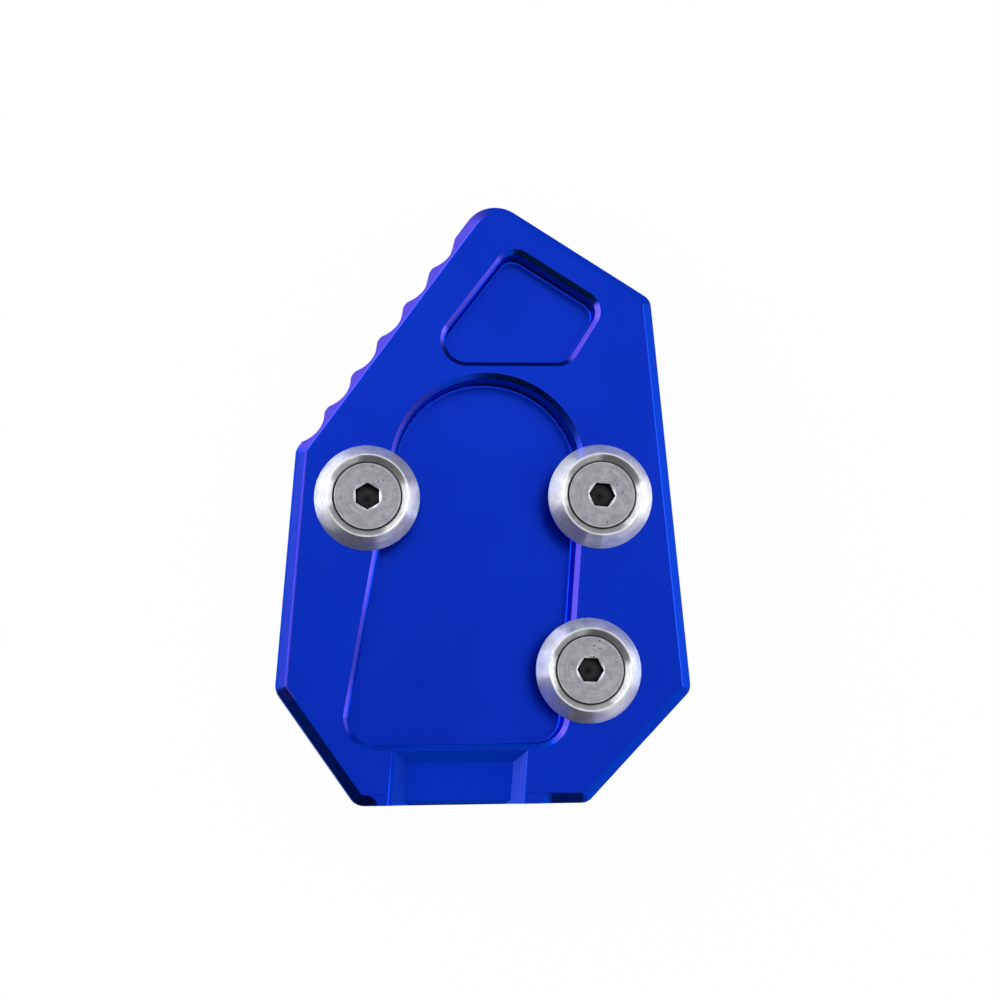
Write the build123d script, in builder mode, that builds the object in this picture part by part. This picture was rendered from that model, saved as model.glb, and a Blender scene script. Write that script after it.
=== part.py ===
"""A kickstand foot enlarger: a milled plate, three clamp washers and the screws that hold them.

The stand's own foot drops into the large pocket and the washers reach over its rim.
Plan sizes are taken from the centre of that pocket's round end, +Y towards the narrow crown.
"""

import os
from math import cos, radians, sin, tan

from build123d import *

# Plate
plate_thickness = 14.0
edge_chamfer = 1.8
edge_break = 0.8
base_chamfer = 0.8

# Corners of the plate, going clockwise from the crown
apex_over = 0.6
apex_up = 49.0
apex_radius = 6.0
crown_out = 29.2
crown_up = 30.6
right_corner_out = 34.6
right_corner_above_heel = 18.9
heel_right = 16.3
heel_left = 22.9
left_corner_out = 36.5
left_corner_above_heel = 19.6
shoulder_out = 32.9
shoulder_up = 3.8
corner_radius = 2.5

# Grip grooves down the long sloping edge, clear of both its ends
groove_count = 6
groove_pitch = 7.65
groove_radius = 5.0
groove_depth = 1.15
groove_lip_radius = 1.2
first_groove_from_shoulder = 5.0
plain_end = 2.0

# Foot pocket
pocket_radius = 17.0
pocket_length = 47.6
pocket_right_lean = 5.0
pocket_left_lean = 10.6
pocket_corner_radius = 5.5
pocket_depth = 6.5
pocket_chamfer = 0.85
pocket_floor_radius = 0.5

# Crown pocket, held between the two upper edges and the foot pocket
crown_pocket_from_grip = 7.6
crown_pocket_from_crown = 5.3
crown_pocket_web = 1.2
crown_pocket_grip_lean = 52.3
crown_pocket_inner_lean = 57.4
crown_pocket_inner_out = 14.5
crown_pocket_corner_radius = 3.8
crown_pocket_sharp_radius = 4.6
crown_pocket_depth = 5.3

# Heel tray, the shallow sloped notch between the foot pocket and the heel edge
tray_length = 9.0
tray_ridge = 0.25
tray_left = 16.5
tray_right = 6.1
tray_depth = 2.0
tray_left_slope = 2.4
tray_right_slope = 2.15
tray_back_slope = 1.9
tray_lip = 0.8
tray_step_width = 0.5
tray_step_depth = 0.2
tray_step_slope = 45.0
tray_overrun = 8.0

# Plain stretch of heel edge beside the tray, where the edge chamfer runs out
land_left = 21.4
land_right = 10.2
cutter_tip = 0.35

# Clamp positions: distance outside the pocket edge, and down each side from the round end
clamp_outset = 2.6
clamp_left_down = 8.6
clamp_upper_down = 3.0
clamp_spacing = 30.0

# Clamp washer
washer_radius = 9.0
washer_height = 3.8
washer_lip = 0.8
washer_rim_radius = 7.1
washer_rim_land = 0.2
washer_hole_radius = 3.3

# Countersunk socket screw, its thread left plain at the root
head_radius = 5.7
head_land = 0.4
head_edge_break = 0.15
seat_clearance = 0.02
thread_root_radius = 2.45
thread_clearance = 0.05
screw_length = 12.0
screw_tip_chamfer = 0.6
socket_across_flats = 4.0
socket_depth = 2.4
socket_mouth_radius = 2.4
socket_mouth_slope = 30.0
drill_point_slope = 31.0
hole_spare_depth = 1.5

plane_slack = 0.01
heel_y = -(pocket_length + tray_ridge + tray_length)
top = plate_thickness


def heading(degrees):
    """Unit vector in the plan at an angle from +X."""
    return Vector(cos(radians(degrees)), sin(radians(degrees)))


def crossing(point_a, along_a, point_b, along_b):
    """Where the line through point_a along along_a meets the line through point_b."""
    reach = (point_b - point_a).cross(along_b).Z / along_a.cross(along_b).Z
    return point_a + along_a * reach


def edges_at_height(edges, height):
    """Those edges that lie level at one height."""
    return edges.filter_by_position(Axis.Z, height - plane_slack, height + plane_slack)


def edges_on_lines(edges, lines):
    """Those edges whose middle lies on one of the lines of an outline."""
    return [e for e in edges if min(line.distance_to(e @ 0.5) for line in lines) < plane_slack]


def on_face(spot, height=0.0):
    """A place in the part's own frame, from its plan place and its height above the face."""
    return datum.from_local_coords(Vector(spot.X, spot.Y, top + height))


# Corners of the plate before they are rounded
apex = Vector(apex_over, apex_up)
crown = Vector(crown_out, crown_up)
right_corner = Vector(right_corner_out, heel_y + right_corner_above_heel)
heel_right_end = Vector(heel_right, heel_y)
heel_left_end = Vector(-heel_left, heel_y)
left_corner = Vector(-left_corner_out, heel_y + left_corner_above_heel)
shoulder = Vector(-shoulder_out, shoulder_up)
corners = [apex, crown, right_corner, heel_right_end, heel_left_end, left_corner, shoulder]

# Sides of the foot pocket: both touch its round end and lean left on their way to the heel
right_way = heading(-90 - pocket_right_lean)
left_way = heading(-90 - pocket_left_lean)
right_out = heading(-pocket_right_lean)
left_out = heading(180 - pocket_left_lean)

# Plan outline of the plate, with its box centred on the part's own origin
with BuildSketch(Plane.XY) as plan:
    with BuildLine():
        Polyline(*corners, close=True)
    make_face()
    apex_vertex = plan.vertices().sort_by_distance(apex)[0]
    fillet(apex_vertex, apex_radius)
    others = [plan.vertices().sort_by_distance(corner)[0] for corner in corners[1:]]
    fillet(others, corner_radius)

plan_middle = plan.sketch.bounding_box().center()
datum = Plane(origin=(-plan_middle.X, -plan_middle.Y, 0))
top_plane = datum.offset(top)

# Grip grooves: upright cutter passes along the edge from shoulder to apex, their lips rounded
grip_way = (apex - shoulder).normalized()
grip_out = Vector(-grip_way.Y, grip_way.X)
grip_plane = Plane(
    origin=datum.from_local_coords(shoulder), x_dir=tuple(grip_way), z_dir=(0, 0, 1)
)
with BuildSketch(grip_plane) as grip_cut:
    groove_places = [
        (first_groove_from_shoulder + i * groove_pitch, groove_radius - groove_depth)
        for i in range(groove_count)
    ]
    with Locations(*groove_places):
        Circle(groove_radius)
    grip_length = (apex - shoulder).length
    Rectangle(grip_length, groove_radius, align=(Align.MIN, Align.MIN))
    lips = [
        v for v in grip_cut.vertices()
        if abs(v.Y) < plane_slack and plain_end < v.X < grip_length - plain_end
    ]
    fillet(lips, groove_lip_radius)

# Plain stretch of heel edge, ending in the round run-outs that the chamfer cutter leaves
with BuildPart() as heel_land:
    with BuildSketch(top_plane):
        with Locations(((land_right - land_left) / 2, heel_y)):
            Rectangle(land_right + land_left, edge_chamfer, align=(Align.CENTER, Align.MIN))
    extrude(amount=-edge_chamfer)
    run_outs = [
        datum.from_local_coords(Vector(x, heel_y - cutter_tip, top - edge_chamfer / 2))
        for x in (-land_left, land_right)
    ]
    with Locations(*run_outs):
        Cone(cutter_tip, cutter_tip + edge_chamfer, edge_chamfer, mode=Mode.SUBTRACT)

# Foot pocket outline at the plate's face
with BuildSketch(top_plane) as foot_pocket:
    with BuildLine():
        right_touch = right_out * pocket_radius
        left_touch = left_out * pocket_radius
        pocket_end = Vector(0, -pocket_length)
        lower_right = crossing(right_touch, right_way, pocket_end, heading(0))
        lower_left = crossing(left_touch, left_way, pocket_end, heading(0))
        CenterArc(
            (0, 0), pocket_radius, -pocket_right_lean,
            180 - pocket_left_lean + pocket_right_lean,
        )
        Polyline(left_touch, lower_left, lower_right, right_touch)
    make_face()
    fillet(foot_pocket.vertices().group_by(Axis.Y)[0], pocket_corner_radius)

# Crown pocket outline at the plate's face
crown_way = (crown - apex).normalized()
crown_in = Vector(crown_way.Y, -crown_way.X)
with BuildSketch(top_plane) as crown_pocket:
    with BuildLine():
        grip_lean = heading(crown_pocket_grip_lean)
        inner_lean = heading(crown_pocket_inner_lean)
        low_line = Vector(0, pocket_radius + crown_pocket_web)
        crown_line = apex + crown_in * crown_pocket_from_crown
        grip_line = crossing(
            shoulder - grip_out * crown_pocket_from_grip, grip_way, low_line, heading(0)
        )
        inner_line = Vector(crown_pocket_inner_out, pocket_radius + crown_pocket_web)
        wide_spots = [
            crossing(grip_line, grip_lean, crown_line, crown_way),
            crossing(inner_line, inner_lean, crown_line, crown_way),
            inner_line,
        ]
        Polyline(grip_line, *wide_spots, close=True)
    make_face()
    sharp_corner = crown_pocket.vertices().sort_by_distance(grip_line)[0]
    fillet(sharp_corner, crown_pocket_sharp_radius)
    wide_corners = [crown_pocket.vertices().sort_by_distance(spot)[0] for spot in wide_spots]
    fillet(wide_corners, crown_pocket_corner_radius)

# Heel tray outlines at the plate's face and on the tray's floor, run out past the heel edge
tray_back = heel_y + tray_length
tray_run = right_way * (tray_length + tray_overrun)
back_left = Vector(-tray_left, tray_back)
back_right = Vector(tray_right, tray_back)
with BuildSketch(top_plane) as tray_mouth:
    with BuildLine():
        Polyline(back_left, back_right, back_right + tray_run, back_left + tray_run, close=True)
    make_face()
floor_back = Vector(0, tray_back - tray_back_slope)
floor_left = crossing(back_left + Vector(tray_left_slope, 0), right_way, floor_back, heading(0))
floor_right = crossing(back_right - Vector(tray_right_slope, 0), right_way, floor_back, heading(0))
with BuildSketch(top_plane.offset(-tray_depth)) as tray_floor:
    with BuildLine():
        Polyline(
            floor_left, floor_right, floor_right + tray_run, floor_left + tray_run, close=True
        )
    make_face()

# Narrow step along the tray's left side
with BuildSketch(top_plane) as tray_step:
    with BuildLine():
        step_left = back_left - Vector(tray_step_width, 0)
        step_right = back_left + Vector(tray_left_slope, 0)
        Polyline(step_left, step_right, step_right + tray_run, step_left + tray_run, close=True)
    make_face()

# Places of the three clamps along the pocket's sides, with the turn of each screw's socket
side_reach = pocket_radius + clamp_outset
left_spot = left_out * side_reach + left_way * clamp_left_down
upper_spot = right_out * side_reach + right_way * clamp_upper_down
lower_spot = upper_spot + right_way * clamp_spacing
clamps = {
    "left": (left_spot, 30.0),
    "right_upper": (upper_spot, -6.0),
    "right_lower": (lower_spot, -2.5),
}

# Heights above the plate's face at which the screw head sits in its washer
countersink_radius = washer_rim_radius - washer_rim_land
head_shoulder = washer_height - (countersink_radius - head_radius) + seat_clearance
head_top = head_shoulder + head_land
neck_radius = head_radius - (head_shoulder - seat_clearance)
screw_end = head_top - screw_length
hole_depth = hole_spare_depth - screw_end
hole_radius = thread_root_radius + thread_clearance

os.makedirs("parts", exist_ok=True)

# The plate, milled from one block
with BuildPart() as base_plate:
    with BuildSketch(datum):
        add(plan.sketch)
    extrude(amount=plate_thickness)
    chamfer(base_plate.faces().sort_by(Axis.Z)[0].edges(), base_chamfer)
    chamfer(base_plate.faces().sort_by(Axis.Z)[-1].edges(), edge_chamfer)
    fillet(base_plate.faces().sort_by(Axis.Z)[-1].edges(), edge_break)
    extrude(grip_cut.sketch, amount=plate_thickness, mode=Mode.SUBTRACT)
    add(heel_land.part)

    # Tray with sloping sides, open at the heel, its heel edge broken and its left side stepped
    loft([tray_mouth.sketch, tray_floor.sketch], ruled=True, mode=Mode.SUBTRACT)
    heel_edges = base_plate.edges().group_by(Axis.Y)[0]
    chamfer(edges_at_height(heel_edges, top - tray_depth), tray_lip)
    extrude(
        tray_step.sketch, amount=-tray_step_depth, taper=tray_step_slope, mode=Mode.SUBTRACT
    )

    # The two pockets: upright walls, a chamfered mouth and a small radius round the floor
    for outline, depth in ((foot_pocket, pocket_depth), (crown_pocket, crown_pocket_depth)):
        with BuildSketch(top_plane) as walls:
            add(outline.sketch_local)
            offset(amount=-pocket_chamfer, kind=Kind.INTERSECTION, mode=Mode.REPLACE)
        extrude(amount=-depth, mode=Mode.SUBTRACT)
        fillet(edges_at_height(base_plate.edges(), top - depth), pocket_floor_radius)
        top_edges = edges_at_height(base_plate.edges(), top)
        chamfer(edges_on_lines(top_edges, walls.sketch.edges()), pocket_chamfer)

    # Blind tapped holes under the clamps, each with its drill point
    for spot, turn in clamps.values():
        with Locations(on_face(spot)):
            Hole(hole_radius, hole_depth)
        point_height = hole_radius * tan(radians(drill_point_slope))
        with Locations(on_face(spot, -hole_depth - point_height / 2)):
            Cone(0, hole_radius, point_height, mode=Mode.SUBTRACT)

base_plate.part.label = "base_plate"
export_step(base_plate.part, "parts/base_plate.step")

for name, (spot, turn) in clamps.items():
    section = Plane(origin=on_face(spot), x_dir=(1, 0, 0), z_dir=(0, -1, 0))
    upright = Axis(on_face(spot), (0, 0, 1))

    # Clamp washer, turned: straight lip, bevel up to a narrow rim, countersink inside
    with BuildPart() as clamp_washer:
        with BuildSketch(section):
            with BuildLine():
                Polyline(
                    (washer_hole_radius, 0),
                    (washer_radius, 0),
                    (washer_radius, washer_lip),
                    (washer_rim_radius, washer_height),
                    (countersink_radius, washer_height),
                    (washer_hole_radius, washer_height - countersink_radius + washer_hole_radius),
                    close=True,
                )
            make_face()
        revolve(axis=upright)
    clamp_washer.part.label = "clamp_washer_" + name
    export_step(clamp_washer.part, "parts/clamp_washer_" + name + ".step")

    # Countersunk screw with a hexagon socket, whose mouth is bevelled and floor drilled
    with BuildPart() as clamp_screw:
        with BuildSketch(section):
            with BuildLine():
                Polyline(
                    (0, head_top),
                    (head_radius - head_edge_break, head_top),
                    (head_radius, head_top - head_edge_break),
                    (head_radius, head_shoulder),
                    (neck_radius, seat_clearance),
                    (thread_root_radius, seat_clearance),
                    (thread_root_radius, screw_end + screw_tip_chamfer),
                    (thread_root_radius - screw_tip_chamfer, screw_end),
                    (0, screw_end),
                    close=True,
                )
            make_face()
        revolve(axis=upright)
        with BuildSketch(Plane(origin=on_face(spot, head_top))):
            RegularPolygon(socket_across_flats / 2, 6, major_radius=False, rotation=turn)
        extrude(amount=-socket_depth, mode=Mode.SUBTRACT)
        mouth_bevel = socket_mouth_radius - socket_across_flats / 2
        mouth_depth = mouth_bevel * tan(radians(socket_mouth_slope))
        with Locations(on_face(spot, head_top - mouth_depth / 2)):
            Cone(socket_across_flats / 2, socket_mouth_radius, mouth_depth, mode=Mode.SUBTRACT)
        floor_depth = socket_across_flats / 2 * tan(radians(drill_point_slope))
        with Locations(on_face(spot, head_top - socket_depth - floor_depth / 2)):
            Cone(0, socket_across_flats / 2, floor_depth, mode=Mode.SUBTRACT)
    clamp_screw.part.label = "clamp_screw_" + name
    export_step(clamp_screw.part, "parts/clamp_screw_" + name + ".step")
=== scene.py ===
"""Looks of the kickstand foot enlarger: blue anodised plate, three clamp washers, their screws."""

from math import cos, pi, radians, sin, tan
import bmesh
import bpy
from mathutils import Euler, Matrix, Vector


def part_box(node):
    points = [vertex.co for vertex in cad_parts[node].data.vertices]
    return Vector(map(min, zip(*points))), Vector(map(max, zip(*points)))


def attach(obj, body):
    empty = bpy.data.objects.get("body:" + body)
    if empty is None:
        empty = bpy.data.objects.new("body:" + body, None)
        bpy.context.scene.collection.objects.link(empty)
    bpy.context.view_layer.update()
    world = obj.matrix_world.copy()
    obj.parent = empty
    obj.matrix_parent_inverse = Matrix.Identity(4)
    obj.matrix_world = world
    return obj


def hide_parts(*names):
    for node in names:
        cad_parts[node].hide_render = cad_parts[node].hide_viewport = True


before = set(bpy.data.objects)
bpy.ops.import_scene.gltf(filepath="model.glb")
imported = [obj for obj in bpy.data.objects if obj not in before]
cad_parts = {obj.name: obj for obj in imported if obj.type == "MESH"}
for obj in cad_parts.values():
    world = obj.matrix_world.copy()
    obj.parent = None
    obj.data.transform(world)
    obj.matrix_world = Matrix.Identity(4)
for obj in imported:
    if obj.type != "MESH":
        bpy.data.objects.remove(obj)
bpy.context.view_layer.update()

# The plate. One block of aluminium, milled all over with an end mill, its edges chamfered, then
# anodised blue. Its solid has every pocket and groove, so its mesh is a merged copy of it with
# the curved faces shaded smooth and the flat ones flat.
MM = 0.001
same_point_mm = 0.001
plate_smooth_deg = 24.0


def new_piece(name, mesh, material):
    """A finished piece at the origin, its material on every face."""
    mesh.materials.clear()
    mesh.materials.append(material)
    piece = bpy.data.objects.new(name, mesh)
    bpy.context.scene.collection.objects.link(piece)
    return piece


def new_material(name):
    """A material with its own Principled shader, the node tree and that shader."""
    material = bpy.data.materials.new(name)
    material.use_nodes = True
    tree = material.node_tree
    return material, tree, tree.nodes["Principled BSDF"]


def math_node(tree, operation, first, second=None):
    """One Math node; numbers go on its sockets and sockets are linked."""
    node = tree.nodes.new("ShaderNodeMath")
    node.operation = operation
    for socket, value in zip(node.inputs, (first, second)):
        if isinstance(value, (int, float)):
            socket.default_value = value
        elif value is not None:
            tree.links.new(value, socket)
    return node.outputs[0]


def product(tree, *shares):
    """Several shares multiplied."""
    result = shares[0]
    for share in shares[1:]:
        result = math_node(tree, "MULTIPLY", result, share)
    return result


def mix_colour(tree, share, first, second):
    """Blend of two colours, each a socket or a plain colour."""
    node = tree.nodes.new("ShaderNodeMix")
    node.data_type = "RGBA"
    tree.links.new(share, node.inputs[0])
    for socket, value in ((node.inputs[6], first), (node.inputs[7], second)):
        if isinstance(value, tuple):
            socket.default_value = (*value, 1.0)
        else:
            tree.links.new(value, socket)
    return node.outputs[2]


def map_range(tree, value, low, high, to_low, to_high):
    """Value taken from one range to another, kept inside it."""
    node = tree.nodes.new("ShaderNodeMapRange")
    tree.links.new(value, node.inputs["Value"])
    for name, number in (
        ("From Min", low), ("From Max", high), ("To Min", to_low), ("To Max", to_high)
    ):
        node.inputs[name].default_value = number
    return node.outputs[0]


def rising_share(tree, value, span):
    """0 below a span of the value, 1 above it."""
    return map_range(tree, value, span[0], span[1], 0.0, 1.0)


def split_vector(tree, vector):
    """The three parts of a vector."""
    apart = tree.nodes.new("ShaderNodeSeparateXYZ")
    tree.links.new(vector, apart.inputs[0])
    return apart.outputs


def join_vector(tree, first, second):
    """A vector of two numbers and a nought."""
    joined = tree.nodes.new("ShaderNodeCombineXYZ")
    tree.links.new(first, joined.inputs[0])
    tree.links.new(second, joined.inputs[1])
    return joined.outputs[0]


def noise_node(tree, vector, scale, detail):
    """One Noise texture on a vector."""
    noise = tree.nodes.new("ShaderNodeTexNoise")
    noise.inputs["Scale"].default_value = scale
    noise.inputs["Detail"].default_value = detail
    tree.links.new(vector, noise.inputs["Vector"])
    return noise


def new_group(name, inputs, outputs):
    """An empty shader node group with named float or vector sockets."""
    group = bpy.data.node_groups.new(name, "ShaderNodeTree")
    for label, kind, value in inputs:
        socket = group.interface.new_socket(label, in_out="INPUT", socket_type=kind)
        socket.default_value = value
    for label, kind in outputs:
        group.interface.new_socket(label, in_out="OUTPUT", socket_type=kind)
    return group, group.nodes.new("NodeGroupInput"), group.nodes.new("NodeGroupOutput")


def cutter_marks_group():
    """Fine parallel marks that a cutter leaves, as a height and a streak mask."""
    streaks_per_metre, streak_detail = 40.0, 3.0
    wander_radians = 6.0
    wave_height = 0.5
    group, given, out = new_group(
        "cutter marks",
        [
            ("Place", "NodeSocketVector", (0, 0, 0)),
            ("Pitch", "NodeSocketFloat", 0.0005),
            ("Waver", "NodeSocketFloat", 0.3),
        ],
        [("Height", "NodeSocketFloat"), ("Streak", "NodeSocketFloat")],
    )
    place = split_vector(group, given.outputs["Place"])
    across = math_node(group, "DIVIDE", place[0], given.outputs["Pitch"])
    along = math_node(group, "MULTIPLY", place[1], streaks_per_metre)
    stretched = join_vector(group, across, along)
    streak = noise_node(group, stretched, 1.0, streak_detail).outputs["Fac"]
    wander = product(group, streak, given.outputs["Waver"], wander_radians)
    phase = math_node(group, "MULTIPLY", across, 2 * pi)
    wave = math_node(group, "SINE", math_node(group, "ADD", phase, wander))
    height = math_node(group, "ADD", math_node(group, "MULTIPLY", wave, wave_height), streak)
    group.links.new(height, out.inputs["Height"])
    group.links.new(streak, out.inputs["Streak"])
    return group


cutter_marks = cutter_marks_group()
streak_span = (0.3, 0.7)


def add_group(tree, group, **values):
    """One group node in a material, its inputs set by name; sockets are linked."""
    node = tree.nodes.new("ShaderNodeGroup")
    node.node_tree = group
    for label, value in values.items():
        if isinstance(value, bpy.types.NodeSocket):
            tree.links.new(value, node.inputs[label])
        else:
            node.inputs[label].default_value = value
    return node


def add_bump(tree, shader, height, strength):
    """A Bump node from a height to the shader's normal, for marks a hundredth of a mm deep."""
    mark_depth_mm = 0.01
    bump = tree.nodes.new("ShaderNodeBump")
    bump.inputs["Strength"].default_value = strength
    bump.inputs["Distance"].default_value = mark_depth_mm * MM
    tree.links.new(height, bump.inputs["Height"])
    tree.links.new(bump.outputs[0], shader.inputs["Normal"])


def box_share(tree, place, low_mm, high_mm, fade_mm):
    """1 inside a box of the plate, 0 outside, with a soft rim."""
    parts = split_vector(tree, place)
    sides = []
    for axis in range(3):
        for edge, way in ((low_mm[axis], 1.0), (high_mm[axis], -1.0)):
            span = ((edge - way * fade_mm) * MM, (edge + way * fade_mm) * MM)
            sides.append(rising_share(tree, parts[axis], span))
    return product(tree, *sides)


def facing_share(tree, normal, way, span):
    """How far a surface turns to one direction: 0 at the span's start, 1 at its end."""
    along = tree.nodes.new("ShaderNodeVectorMath")
    along.operation = "DOT_PRODUCT"
    tree.links.new(normal, along.inputs[0])
    along.inputs[1].default_value = way
    return rising_share(tree, along.outputs["Value"], span)


def stretch_share(tree, place, normal, stretch):
    """1 on one stretch of the plate, 0 elsewhere: inside its box and facing its way."""
    low_mm, high_mm, fade_mm, way, span = stretch
    inside = box_share(tree, place, low_mm, high_mm, fade_mm)
    return product(tree, inside, facing_share(tree, normal, way, span))


# How far a surface faces up: on walls, slopes, broken edges and flats.
leaning_span = (0.15, 0.35)
broken_edge_starts, broken_edge_ends = (0.72, 0.78), (0.90, 0.98)
flat_span = (0.76, 0.97)

# Boxes on the plate: lowest and highest corner and soft rim, in mm.
tray_box = ((-16.2, -51.7, 11.0), (7.2, -42.9, 13.96), 0.05)
tray_edge_box = ((-17.5, -52.0, 12.0), (8.5, -42.0, 14.1), 0.05)
round_end_box = ((2.0, 5.0, 10.0), (26.0, 21.0, 14.0), 1.0)
left_side_box = ((-40.0, -34.0, 12.5), (-30.0, 9.0, 14.5), 0.02)

# Stretches of the plate where painted shade or a painted highlight changes its blue: a box as
# above, the way that they face, and how squarely they face it where their blue starts and where it
# is full.
to_left, to_right = (-1.0, 0.0, 0.0), (1.0, 0.0, 0.0)
to_heel, to_crown = (0.0, -1.0, 0.0), (0.0, 1.0, 0.0)
right_rims = (
    (-30.0, -42.7, 13.0), (22.0, 43.6, 13.98), 0.02, (-0.978, 0.208, 0.0), (0.46, 0.64)
)
left_rims = (
    (-30.0, -42.7, 13.45), (22.0, 43.6, 13.98), 0.10, (0.978, -0.208, 0.0), (0.46, 0.64)
)
pocket_end_rims = (
    (-14.0, 20.0, 8.0), (26.0, 46.0, 13.97), 0.02, (-0.5, -0.86, 0.0), (0.55, 0.75)
)
pocket_end_walls = (
    (-14.0, 4.0, 6.5), (26.0, 46.0, 13.97), 0.02, (-0.5, -0.86, 0.0), (0.40, 0.70)
)
grip_chamfer = (
    (-34.0, 9.0, 5.0), (6.0, 60.0, 13.95), 0.02, (-0.804, 0.595, 0.0), (0.50, 0.66)
)
heel_rim = ((-30.0, -46.5, 12.0), (30.0, -41.5, 13.98), 0.02, to_crown, (0.30, 0.60))
right_chamfer = ((24.0, -46.0, 11.0), (40.0, 46.0, 14.5), 0.05, to_right, (0.50, 0.60))
left_edge = (*left_side_box, to_left, (0.30, 0.45))
right_edge_span = (0.42, 0.50)
tray_slope_span = (0.25, 0.45)
left_side_span, steep_left_span, steep_left_loss = (0.10, 0.30), (0.50, 0.62), 0.72

# The faces' blues: an uneven tone, and painted shade darker towards the heel.
face_blues = ((0.0008, 0.023, 0.440), (0.0030, 0.034, 0.560))
side_blues = ((0.0011, 0.034, 0.440), (0.0018, 0.044, 0.540))
tray_blue = (0.0030, 0.040, 0.550)
# Painted light and shade: the tray's slopes lighter facing the heel, darker facing right, violet
# facing left.
tray_slope_light_and_shade_blues = (
    (to_heel, (0.0014, 0.072, 0.690)),
    (to_right, (0.0055, 0.043, 0.440)),
    (to_left, (0.0330, 0.080, 0.600)),
)
# Painted shade: the broken edge round the tray darker.
tray_edge_shade_blue = (0.0010, 0.022, 0.300)
# Painted highlight: the rim by the heel tray, facing the crown, brighter.
heel_rim_highlight_blue = (0.0010, 0.058, 0.700)
# Painted shade: the rims and walls at the pockets' far ends darker, the walls teal.
pocket_end_rim_shade_blue = (0.0010, 0.070, 0.240)
pocket_end_wall_shade_blue = (0.0010, 0.200, 0.150)
# Painted shade: the broken edges that face right darker.
right_edge_shade_blue = (0.0012, 0.010, 0.130)
# Painted shade: the chamfer down the right side darker.
right_chamfer_shade_blue = (0.0070, 0.036, 0.400)
# Painted shade: the broken edge down the left side darker.
left_edge_shade_blue = (0.0220, 0.022, 0.300)
# Painted highlight: violet on the pockets' rims, the grip chamfer and the left broken edge.
violet_highlight_blue = (0.0640, 0.046, 0.410)
mirrored_blue = (0.10, 0.40, 1.0)


def violet_highlight_share(tree, place, normal):
    """Where a violet highlight is painted on the plate: the pockets' rims along their sides, the
    chamfer of the grip edge, and the broken edge down the left side."""
    beside_round_end = math_node(
        tree, "SUBTRACT", 1.0, box_share(tree, place, *round_end_box)
    )
    steep_left = product(
        tree, facing_share(tree, normal, to_left, steep_left_span), steep_left_loss
    )
    left_turned = math_node(
        tree, "SUBTRACT", facing_share(tree, normal, to_left, left_side_span), steep_left
    )
    violet = product(tree, stretch_share(tree, place, normal, right_rims), beside_round_end)
    for share in (
        stretch_share(tree, place, normal, left_rims),
        stretch_share(tree, place, normal, grip_chamfer),
        product(tree, box_share(tree, place, *left_side_box), left_turned),
    ):
        violet = math_node(tree, "MAXIMUM", violet, share)
    return violet


def plate_blue(tree, place, normal, tray, flatness, side_streak):
    """The plate's blue: the dye's colour on its faces, slopes and walls, the faces painted darker
    towards the heel as painted shade, and painted shade or a painted highlight on each stretch
    that differs."""
    cloud_scale, cloud_detail = 60.0, 2.0
    lower_mm, upper_mm, darker_low, paler_high = -30.0, 20.0, -0.35, 0.25
    upward = split_vector(tree, normal)[2]
    leaning = rising_share(tree, upward, leaning_span)
    upright = math_node(tree, "SUBTRACT", 1.0, leaning)
    broken_edge = math_node(
        tree, "SUBTRACT",
        rising_share(tree, upward, broken_edge_starts),
        rising_share(tree, upward, broken_edge_ends),
    )

    cloud = noise_node(tree, place, cloud_scale, cloud_detail).outputs["Fac"]
    # Painted shade and light: the faces are darker towards the heel and paler towards the crown.
    light_and_shade_up_the_plate = map_range(
        tree, split_vector(tree, place)[1], lower_mm * MM, upper_mm * MM, darker_low, paler_high
    )
    face_blue = mix_colour(tree, math_node(tree, "ADD", cloud, light_and_shade_up_the_plate), *face_blues)
    face_blue = mix_colour(tree, tray, face_blue, tray_blue)

    side_blue = mix_colour(tree, rising_share(tree, side_streak, streak_span), *side_blues)
    # Painted shade on the pockets' end rims and walls.
    end_rims = product(tree, stretch_share(tree, place, normal, pocket_end_rims), leaning)
    side_blue = mix_colour(tree, end_rims, side_blue, pocket_end_rim_shade_blue)
    end_walls = product(tree, stretch_share(tree, place, normal, pocket_end_walls), upright)
    side_blue = mix_colour(tree, end_walls, side_blue, pocket_end_wall_shade_blue)
    blue = mix_colour(tree, flatness, side_blue, face_blue)

    right_edge_facing = facing_share(tree, normal, to_right, right_edge_span)
    tray_edge = box_share(tree, place, *tray_edge_box)
    # Painted light and shade on the tray's slopes, by the way each faces.
    tray_slopes = [
        (product(tree, tray, facing_share(tree, normal, way, tray_slope_span)), slope_blue)
        for way, slope_blue in tray_slope_light_and_shade_blues
    ]
    # Painted shade and painted highlights on the stretches of the plate.
    for share, painted_stretch_blue in (
        (product(tree, broken_edge, right_edge_facing), right_edge_shade_blue),
        (
            product(tree, stretch_share(tree, place, normal, right_chamfer), leaning),
            right_chamfer_shade_blue,
        ),
        (product(tree, broken_edge, tray_edge), tray_edge_shade_blue),
        (stretch_share(tree, place, normal, heel_rim), heel_rim_highlight_blue),
        *tray_slopes,
        (product(tree, violet_highlight_share(tree, place, normal), leaning), violet_highlight_blue),
        (
            product(tree, stretch_share(tree, place, normal, left_edge), broken_edge),
            left_edge_shade_blue,
        ),
    ):
        blue = mix_colour(tree, share, blue, painted_stretch_blue)
    return blue


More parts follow.
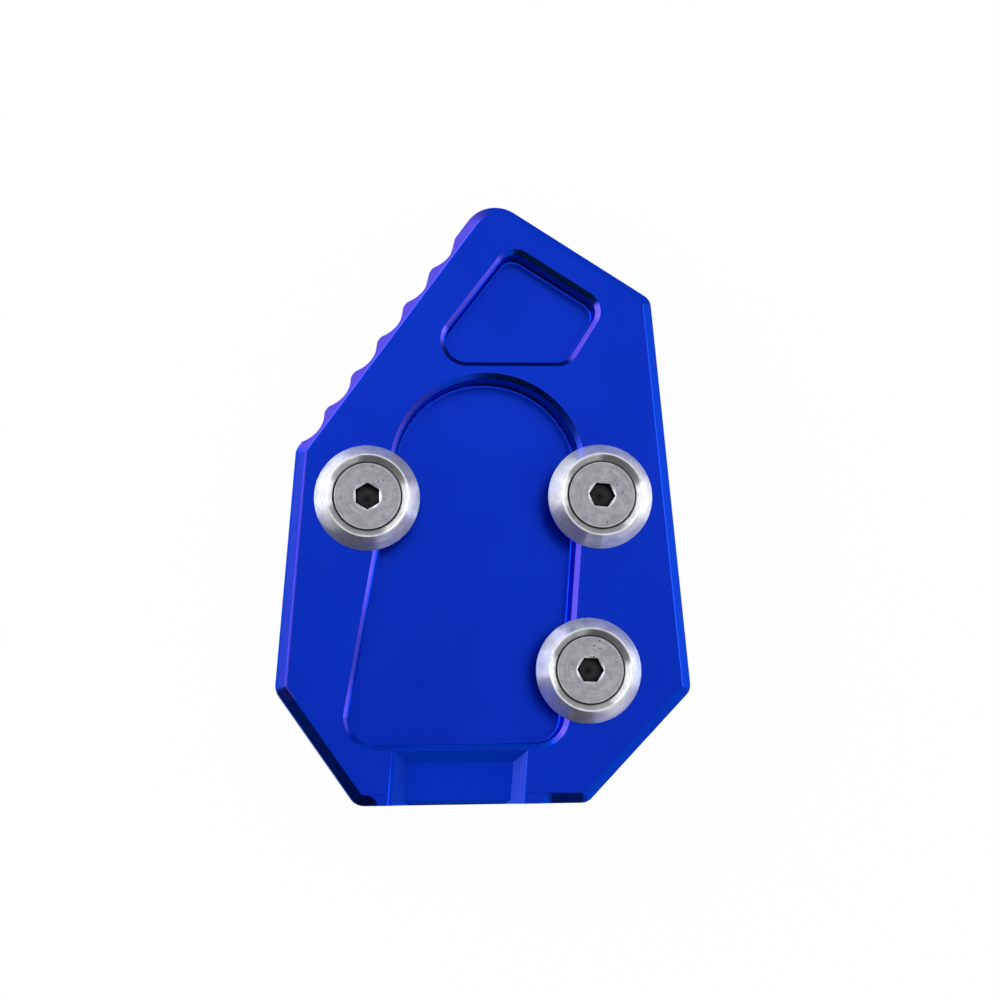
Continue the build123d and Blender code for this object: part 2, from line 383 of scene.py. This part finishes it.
def blue_anodised():
    """Dyed anodised aluminium with cutter marks, under a thin clear coat, and rougher and
    uncoated in the heel tray."""
    face_pitch_mm, face_waver = 0.47, 0.2
    side_pitch_mm, side_waver = 0.35, 0.3
    face_cut, tray_cut, side_cut = 0.004, 2.5, 0.12
    smoothest, roughest, rougher_in_tray = 0.27, 0.29, 0.42
    side_cut_fades_at = 0.3
    side_coat, face_coat = 0.03, 0.05
    material, tree, shader = new_material("blue anodised aluminium")
    surface = tree.nodes.new("ShaderNodeTexCoord")
    place, normal = surface.outputs["Object"], surface.outputs["Normal"]
    parts = split_vector(tree, place)
    level = rising_share(tree, split_vector(tree, normal)[2], flat_span)
    tray = box_share(tree, place, *tray_box)
    outside_tray = math_node(tree, "SUBTRACT", 1.0, tray)
    flatness = math_node(tree, "MAXIMUM", level, tray)
    face_marks = add_group(
        tree, cutter_marks, Place=place, Pitch=face_pitch_mm * MM, Waver=face_waver
    ).outputs
    along_walls = join_vector(tree, parts[2], math_node(tree, "ADD", parts[0], parts[1]))
    side_marks = add_group(
        tree, cutter_marks, Place=along_walls, Pitch=side_pitch_mm * MM, Waver=side_waver
    ).outputs

    blue = plate_blue(tree, place, normal, tray, flatness, side_marks["Streak"])
    tree.links.new(blue, shader.inputs["Base Color"])
    shader.inputs["Metallic"].default_value = 1.0
    shader.inputs["Specular Tint"].default_value = (*mirrored_blue, 1.0)
    coat = product(tree, map_range(tree, flatness, 0.0, 1.0, side_coat, face_coat), outside_tray)
    tree.links.new(coat, shader.inputs["Coat Weight"])
    shader.inputs["Coat Roughness"].default_value = 0.15
    shader.inputs["Coat IOR"].default_value = 1.55
    rough = map_range(tree, face_marks["Streak"], *streak_span, smoothest, roughest)
    rough_tray = product(tree, tray, rougher_in_tray)
    tree.links.new(math_node(tree, "ADD", rough, rough_tray), shader.inputs["Roughness"])

    cut = map_range(tree, tray, 0.0, 1.0, face_cut, tray_cut)
    face_height = product(tree, face_marks["Height"], cut)
    cut_beside = map_range(tree, flatness, 0.0, side_cut_fades_at, side_cut, 0.0)
    side_height = product(tree, side_marks["Height"], cut_beside)
    add_bump(tree, shader, math_node(tree, "ADD", face_height, side_height), 1.0)
    return material


def smooth_copy(name, node, smooth_deg, material):
    """A node's mesh with its triangles joined, its curves smooth and its flats flat."""
    joined = bmesh.new()
    joined.from_mesh(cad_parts[node].data)
    bmesh.ops.remove_doubles(joined, verts=joined.verts, dist=same_point_mm * MM)
    for face in joined.faces:
        face.smooth = True
    for edge in joined.edges:
        edge.smooth = edge.calc_face_angle(pi) < radians(smooth_deg)
    mesh = bpy.data.meshes.new(name)
    joined.to_mesh(mesh)
    joined.free()
    if mesh.attributes.get("custom_normal"):
        mesh.attributes.remove(mesh.attributes["custom_normal"])
    piece = new_piece(name, mesh, material)
    weight = piece.modifiers.new("flat faces", "WEIGHTED_NORMAL")
    weight.keep_sharp = True
    ready = piece.evaluated_get(bpy.context.evaluated_depsgraph_get())
    piece.data = bpy.data.meshes.new_from_object(ready)
    piece.modifiers.remove(weight)
    return piece


plate = smooth_copy("anodised_plate", "base_plate", plate_smooth_deg, blue_anodised())
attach(plate, "root")
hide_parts("base_plate")

# The clamp washers. Three low rings turned from aluminium bar and clear anodised: a short
# straight lip, a long bevel outside, a narrow rim and a countersink. They lie on the plate's
# face and reach over the foot pocket.
washer_profile_mm = [
    (3.3, 0.0, 0.0), (9.0, 0.0, 0.0), (9.0, 0.8, 0.15), (7.1, 3.8, 0.09),
    (6.9, 3.8, 0.09), (3.3, 0.2, 0.0),
]
washer_turns_deg = (0, 40, 95)
turned_segments = 144
turned_sharp_deg = 24.0
corner_steps = 5
profile_span_mm = 25.0
clamps = {"Left": "left", "Right upper": "right_upper", "Right lower": "right_lower"}
clamp_spots = {}
for clamp, side in clamps.items():
    low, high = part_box("clamp_washer_" + side)
    clamp_spots[clamp] = Vector(((low.x + high.x) / 2, (low.y + high.y) / 2, low.z))


def rounded(profile):
    """Points of a closed profile whose corners are given as (radius, height, rounding)."""
    points = []
    count = len(profile)
    for i in range(count):
        here = Vector(profile[i][:2])
        before = (Vector(profile[i - 1][:2]) - here).normalized()
        after = (Vector(profile[(i + 1) % count][:2]) - here).normalized()
        size = profile[i][2]
        if not size:
            points.append(here)
            continue
        half = before.angle(after) / 2
        reach = size / tan(half)
        centre = here + (before + after).normalized() * size / sin(half)
        first = here + before * reach - centre
        last = here + after * reach - centre
        turn = first.angle_signed(last)
        for step in range(corner_steps + 1):
            angle = -turn * step / corner_steps
            points.append(centre + Vector((
                first.x * cos(angle) - first.y * sin(angle),
                first.x * sin(angle) + first.y * cos(angle),
            )))
    return points


def ring_mesh(name, rings, closed):
    """Rings of (x, y, z) in mm joined into a skin, with turn and length as its UV map."""
    shape = bmesh.new()
    turn_map = shape.loops.layers.uv.new("turning")
    rows = [[shape.verts.new(Vector(p) * MM) for p in ring] for ring in rings]
    steps = [(Vector(b[0]) - Vector(a[0])).length for a, b in zip(rings, rings[1:] + rings[:1])]
    lengths = [sum(steps[:i]) for i in range(len(rings) + 1)]
    spans = list(zip(rows, rows[1:] + rows[:1])) if closed else list(zip(rows, rows[1:]))
    for span, (one, two) in enumerate(spans):
        count = max(len(one), len(two))
        for k in range(count):
            n = (k + 1) % count
            corners = [
                (one[k % len(one)], k, span), (one[n % len(one)], k + 1, span),
                (two[n % len(two)], k + 1, span + 1), (two[k % len(two)], k, span + 1),
            ]
            if len(one) == 1:
                corners.pop(1)
            if len(two) == 1:
                corners.pop(3)
            face = shape.faces.new([c[0] for c in corners])
            face.smooth = True
            for loop, (_, u, v) in zip(face.loops, corners):
                loop[turn_map].uv = (u / count, lengths[v])
    bmesh.ops.recalc_face_normals(shape, faces=shape.faces)
    for edge in shape.edges:
        edge.smooth = edge.calc_face_angle(pi) < radians(turned_sharp_deg)
    mesh = bpy.data.meshes.new(name)
    shape.to_mesh(mesh)
    shape.free()
    return mesh


def circle_ring(radius, height):
    """One level ring round the axis, or a single point on it."""
    if radius < same_point_mm:
        return [(0.0, 0.0, height)]
    steps = [2 * pi * k / turned_segments for k in range(turned_segments)]
    return [(radius * cos(a), radius * sin(a), height) for a in steps]


def clamp_set_tree():
    """Geometry nodes: one turned part set down at the three clamps, each with its own turn."""
    tree = bpy.data.node_groups.new("set at the three clamps", "GeometryNodeTree")
    tree.interface.new_socket("Part", in_out="INPUT", socket_type="NodeSocketGeometry")
    for clamp in clamps:
        tree.interface.new_socket(clamp + " spot", in_out="INPUT", socket_type="NodeSocketVector")
        tree.interface.new_socket(clamp + " turn", in_out="INPUT", socket_type="NodeSocketFloat")
    tree.interface.new_socket("Finish", in_out="INPUT", socket_type="NodeSocketMaterial")
    tree.interface.new_socket("Set", in_out="OUTPUT", socket_type="NodeSocketGeometry")
    given = tree.nodes.new("NodeGroupInput")
    out = tree.nodes.new("NodeGroupOutput")
    join = tree.nodes.new("GeometryNodeJoinGeometry")
    for clamp in clamps:
        upright = tree.nodes.new("ShaderNodeCombineXYZ")
        tree.links.new(given.outputs[clamp + " turn"], upright.inputs[2])
        place = tree.nodes.new("GeometryNodeTransform")
        tree.links.new(given.outputs["Part"], place.inputs["Geometry"])
        tree.links.new(given.outputs[clamp + " spot"], place.inputs["Translation"])
        tree.links.new(upright.outputs[0], place.inputs["Rotation"])
        tree.links.new(place.outputs[0], join.inputs[0])
    realize = tree.nodes.new("GeometryNodeRealizeInstances")
    finish = tree.nodes.new("GeometryNodeSetMaterial")
    tree.links.new(join.outputs[0], realize.inputs[0])
    tree.links.new(realize.outputs[0], finish.inputs["Geometry"])
    tree.links.new(given.outputs["Finish"], finish.inputs["Material"])
    tree.links.new(finish.outputs[0], out.inputs[0])
    return tree


clamp_set = clamp_set_tree()


def set_at_clamps(name, mesh, material, turns_deg):
    """Three of one part, one at each clamp, as a plain mesh."""
    piece = new_piece(name, mesh, material)
    setter = piece.modifiers.new("set", "NODES")
    setter.node_group = clamp_set
    sockets = {item.name: item.identifier for item in clamp_set.interface.items_tree}
    for (clamp, spot), turn in zip(clamp_spots.items(), turns_deg):
        setter[sockets[clamp + " spot"]] = tuple(spot)
        setter[sockets[clamp + " turn"]] = radians(turn)
    setter[sockets["Finish"]] = material
    ready = piece.evaluated_get(bpy.context.evaluated_depsgraph_get())
    piece.data = bpy.data.meshes.new_from_object(ready)
    piece.modifiers.remove(setter)
    return piece


def turned_marks_group():
    """Fine rings that a turning tool leaves, from the turning UV map."""
    streaks_round, streak_detail = 3.0, 2.0
    group, given, out = new_group(
        "turned marks",
        [
            ("Map", "NodeSocketVector", (0, 0, 0)),
            ("Feed", "NodeSocketFloat", 0.1),
        ],
        [("Height", "NodeSocketFloat"), ("Streak", "NodeSocketFloat")],
    )
    turn, length_mm, _ = split_vector(group, given.outputs["Map"])
    feeds = math_node(group, "DIVIDE", length_mm, given.outputs["Feed"])
    stretched = join_vector(group, math_node(group, "MULTIPLY", turn, streaks_round), feeds)
    noise = noise_node(group, stretched, 1.0, streak_detail)
    group.links.new(noise.outputs["Fac"], out.inputs["Height"])
    group.links.new(noise.outputs["Fac"], out.inputs["Streak"])
    return group


turned_marks = turned_marks_group()


def stain_share(tree, place):
    """Cloudy stains on bare metal."""
    stain_scale, stain_detail, stain_fineness = 650.0, 5.0, 0.65
    stain_span = (0.35, 0.60)
    stain = noise_node(tree, place, stain_scale, stain_detail)
    stain.inputs["Roughness"].default_value = stain_fineness
    return rising_share(tree, stain.outputs["Fac"], stain_span)


def speck_share(tree, place, pitted):
    """Small dark pits, in a given share of the surface's cells."""
    cell_scale, pit_core, pit_rim = 1100.0, 0.08, 0.20
    pit = tree.nodes.new("ShaderNodeTexVoronoi")
    pit.inputs["Scale"].default_value = cell_scale
    tree.links.new(place, pit.inputs["Vector"])
    chance = split_vector(tree, pit.outputs["Color"])[0]
    chosen = math_node(tree, "LESS_THAN", chance, pitted)
    near = map_range(tree, pit.outputs["Distance"], pit_core, pit_rim, 1.0, 0.0)
    return product(tree, chosen, near)


def turned_metal(
    name, light, dark, metallic, roughness, grain, feed_mm, mark_strength, painted_light_zones, pitted
):
    """Turned metal with fine rings, and painted shade and painted highlights along its profile. A
    painted light zone is (mm along the profile, how light it is there), below 1 painted shade and
    above 1 a painted highlight; pitted is the share of cells that hold a dark speck."""
    smoother, rougher = -0.03, 0.04
    grain_across = 0.25
    speck_colour = (0.02, 0.025, 0.03)
    material, tree, shader = new_material(name)
    turning = tree.nodes.new("ShaderNodeUVMap")
    turning.uv_map = "turning"
    place = tree.nodes.new("ShaderNodeTexCoord").outputs["Object"]
    marks = add_group(tree, turned_marks, Map=turning.outputs[0], Feed=feed_mm).outputs
    tone = product(
        tree, rising_share(tree, marks["Streak"], streak_span), stain_share(tree, place)
    )
    length_mm = split_vector(tree, turning.outputs[0])[1]
    ramp = tree.nodes.new("ShaderNodeValToRGB")
    tree.links.new(math_node(tree, "DIVIDE", length_mm, profile_span_mm), ramp.inputs[0])
    spots = ramp.color_ramp.elements
    while len(spots) < len(painted_light_zones):
        spots.new(0.5)
    for spot, (length, share) in zip(spots, painted_light_zones):
        spot.position = length / profile_span_mm
        spot.color = (share, share, share, 1.0)
    shade = tree.nodes.new("ShaderNodeMix")
    shade.data_type = "RGBA"
    shade.blend_type = "MULTIPLY"
    shade.inputs[0].default_value = 1.0
    tree.links.new(mix_colour(tree, tone, dark, light), shade.inputs[6])
    tree.links.new(ramp.outputs[0], shade.inputs[7])
    specks = speck_share(tree, place, pitted)
    specked = mix_colour(tree, specks, shade.outputs[2], speck_colour)
    tree.links.new(specked, shader.inputs["Base Color"])
    rough = map_range(
        tree, marks["Streak"], *streak_span, roughness + smoother, roughness + rougher
    )
    tree.links.new(rough, shader.inputs["Roughness"])
    shader.inputs["Metallic"].default_value = metallic
    shader.inputs["Anisotropic"].default_value = grain
    shader.inputs["Anisotropic Rotation"].default_value = grain_across
    around = tree.nodes.new("ShaderNodeTangent")
    around.direction_type = "UV_MAP"
    around.uv_map = "turning"
    tree.links.new(around.outputs[0], shader.inputs["Tangent"])
    add_bump(tree, shader, marks["Height"], mark_strength)
    return material


washer_rings = [circle_ring(p.x, p.y) for p in rounded(washer_profile_mm)]
washer_finish = turned_metal(
    "clear anodised aluminium",
    light=(0.96, 0.96, 0.97),
    dark=(0.60, 0.63, 0.66),
    metallic=0.95,
    roughness=0.33,
    grain=0.85,
    feed_mm=0.12,
    mark_strength=1.1,
    # Painted shade: the countersink darker, and near black in the gap round the screw's head.
    painted_light_zones=[(0.0, 1.0), (10.35, 1.0), (10.5, 0.56), (11.6, 0.52), (11.8, 0.05)],
    pitted=0.0,
)
washers = set_at_clamps(
    "clamp_washers", ring_mesh("washer", washer_rings, True), washer_finish, washer_turns_deg
)
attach(washers, "root")
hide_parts("clamp_washer_left", "clamp_washer_right_upper", "clamp_washer_right_lower")

# The clamp screws. Stainless countersunk screws with a hexagon socket, one through each washer
# into a tapped hole. The socket's mouth is bevelled by a round tool, so each flat meets the
# bevel in a crescent, painted brighter as a painted highlight, and its floor is the drill's cone.
screw_profile_mm = [
    (0.0, -8.98), (1.85, -8.98), (2.45, -8.38), (2.45, 0.02), (3.08, 0.02), (5.70, 2.62),
    (5.70, 2.87), (5.66, 2.97), (5.55, 3.02),
]
socket_flat_mm = 2.0
socket_mouth_mm = 2.4
socket_mouth_slope_deg = 30.0
socket_depth_mm = 2.4
drill_slope_deg = 31.0
drill_share = 0.999
screw_turns_deg = (30.0, -6.0, -2.5)


def hexagon_reach(angle):
    """Distance from the socket's axis to its wall at an angle."""
    return socket_flat_mm / cos((angle % (pi / 3)) - pi / 6)


def screw_rings():
    """Rings from the screw's tip up over its head and down into its socket."""
    rings = [circle_ring(radius, height) for radius, height in screw_profile_mm]
    head = screw_profile_mm[-1][1]
    rings.append(circle_ring(socket_mouth_mm, head))
    slope = tan(radians(socket_mouth_slope_deg))
    steps = [2 * pi * k / turned_segments for k in range(turned_segments)]
    wall = [(a, hexagon_reach(a)) for a in steps]
    rings.append([
        (r * cos(a), r * sin(a), head - (socket_mouth_mm - r) * slope) for a, r in wall
    ])
    floor = head - socket_depth_mm
    rings.append([(r * cos(a), r * sin(a), floor) for a, r in wall])
    rings.append(circle_ring(socket_flat_mm * drill_share, floor))
    rings.append([(0.0, 0.0, floor - socket_flat_mm * tan(radians(drill_slope_deg)))])
    return rings


screw_finish = turned_metal(
    "stainless steel",
    light=(0.47, 0.47, 0.49),
    dark=(0.27, 0.28, 0.31),
    metallic=1.0,
    roughness=0.38,
    grain=0.4,
    feed_mm=0.10,
    mark_strength=0.3,
    # Painted shade on the head's side in the gap and down the socket, painted highlights on the
    # head's rim and the socket's mouth, a faint painted glint on the drill's cone.
    painted_light_zones=[
        (15.4, 0.1), (15.72, 0.15), (15.8, 1.7), (15.98, 1.0), (19.0, 1.0), (19.06, 1.6),
        (19.16, 1.6), (19.3, 0.02), (21.5, 0.01), (21.9, 0.05), (22.8, 0.11), (24.0, 0.04),
    ],
    pitted=0.20,
)
screws = set_at_clamps(
    "clamp_screws", ring_mesh("screw", screw_rings(), False), screw_finish, screw_turns_deg
)
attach(screws, "root")
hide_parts("clamp_screw_left", "clamp_screw_right_upper", "clamp_screw_right_lower")

# The studio. A white floor that keeps a faint shadow, white all round it, soft lamps at the left
# and the right, and two dark cards towards the camera, which nothing sees but the metal.
white = (1.0, 1.0, 1.0, 1.0)
floor_half = 4.0
floor_drop_mm = 0.02
floor_grey = (0.9, 0.9, 0.9, 1.0)
floor_glow_share = 0.97
card_black = (0.02, 0.02, 0.02, 1.0)
matt = 0.9
world_light = 0.7
dark_cards = {
    "card_on_table": [
        (-1.20, -1.20, 0.001), (0.55, -1.20, 0.001), (0.06, -0.10, 0.001), (-0.13, -0.045, 0.001)
    ],
    "card_by_camera": [
        (-1.05, -0.20, 0.001), (0.12, -0.52, 0.001), (0.12, -0.52, 0.45), (-1.05, -0.20, 0.45)
    ],
}


def white_backdrop_share(tree):
    """1 for what the camera, metal and glass see, 0 for the light that falls on things."""
    path = tree.nodes.new("ShaderNodeLightPath")
    seen = math_node(
        tree, "MAXIMUM", path.outputs["Is Camera Ray"], path.outputs["Is Glossy Ray"]
    )
    return math_node(tree, "MAXIMUM", seen, path.outputs["Is Transmission Ray"])


def white_floor():
    """A matt white floor, whose colour is held near white where it is looked at."""
    material, tree, shader = new_material("white floor")
    shader.inputs["Base Color"].default_value = floor_grey
    shader.inputs["Roughness"].default_value = matt
    glow = tree.nodes.new("ShaderNodeEmission")
    blend = tree.nodes.new("ShaderNodeMixShader")
    share = math_node(tree, "MULTIPLY", white_backdrop_share(tree), floor_glow_share)
    tree.links.new(share, blend.inputs[0])
    tree.links.new(shader.outputs[0], blend.inputs[1])
    tree.links.new(glow.outputs[0], blend.inputs[2])
    tree.links.new(blend.outputs[0], tree.nodes["Material Output"].inputs["Surface"])
    return material


def flat_card(name, corners, material):
    """A flat sheet of the studio from its four corners."""
    mesh = bpy.data.meshes.new(name)
    mesh.from_pydata([Vector(c) for c in corners], [], [(0, 1, 2, 3)])
    card = new_piece(name, mesh, material)
    return card


floor_corners = [
    (x * floor_half, y * floor_half, -floor_drop_mm * MM)
    for x, y in ((-1, -1), (1, -1), (1, 1), (-1, 1))
]
flat_card("floor", floor_corners, white_floor())

card_material, _, card_shader = new_material("dark card")
card_shader.inputs["Base Color"].default_value = card_black
card_shader.inputs["Roughness"].default_value = matt
for name, corners in dark_cards.items():
    card = flat_card(name, corners, card_material)
    card.visible_camera = card.visible_diffuse = card.visible_shadow = False

world = bpy.data.worlds.new("white studio")
bpy.context.scene.world = world
world.use_nodes = True
world_tree = world.node_tree
backdrop = world_tree.nodes["Background"]
backdrop.inputs["Color"].default_value = white
soft = world_tree.nodes.new("ShaderNodeBackground")
soft.inputs["Color"].default_value = white
soft.inputs["Strength"].default_value = world_light
world_mix = world_tree.nodes.new("ShaderNodeMixShader")
world_tree.links.new(white_backdrop_share(world_tree), world_mix.inputs[0])
world_tree.links.new(soft.outputs[0], world_mix.inputs[1])
world_tree.links.new(backdrop.outputs[0], world_mix.inputs[2])
world_tree.links.new(world_mix.outputs[0], world_tree.nodes["World Output"].inputs["Surface"])


def soft_lamp(name, place, aim, width, height, watts):
    """A rectangular soft box turned to its aim."""
    data = bpy.data.lights.new(name, "AREA")
    data.shape = "RECTANGLE"
    data.size, data.size_y = width, height
    data.energy = watts
    lamp = bpy.data.objects.new(name, data)
    bpy.context.scene.collection.objects.link(lamp)
    lamp.location = place
    lamp.rotation_euler = (Vector(aim) - Vector(place)).to_track_quat("-Z", "Y").to_euler()
    return lamp


soft_lamp("low_left_lamp", (-0.36, 0.36, 0.12), (0, 0, 0.10), 0.40, 0.23, watts=0.95)
soft_lamp("left_lamp", (-0.50, 0.07, 0.22), (0, 0, 0.01), 0.34, 0.26, watts=1.00)
soft_lamp("right_lamp", (0.50, 0.02, 0.08), (0, 0, 0.01), 0.35, 0.15, watts=1.00)

# The camera. It looks down on the plate from a little towards its heel and left side, with a
# short telephoto lens.
camera_place_mm = (-30.62, -47.76, 365.65)
camera_turns_deg = (7.743, -5.335, -0.838)
lens = bpy.data.cameras.new("camera")
lens.sensor_width = 36.0
lens.lens = 74.77
camera = bpy.data.objects.new("camera", lens)
bpy.context.scene.collection.objects.link(camera)
camera.location = Vector(camera_place_mm) * MM
camera.rotation_euler = Euler([radians(turn) for turn in camera_turns_deg], "XYZ")
bpy.context.scene.camera = camera
bpy.context.scene.view_settings.view_transform = "Standard"
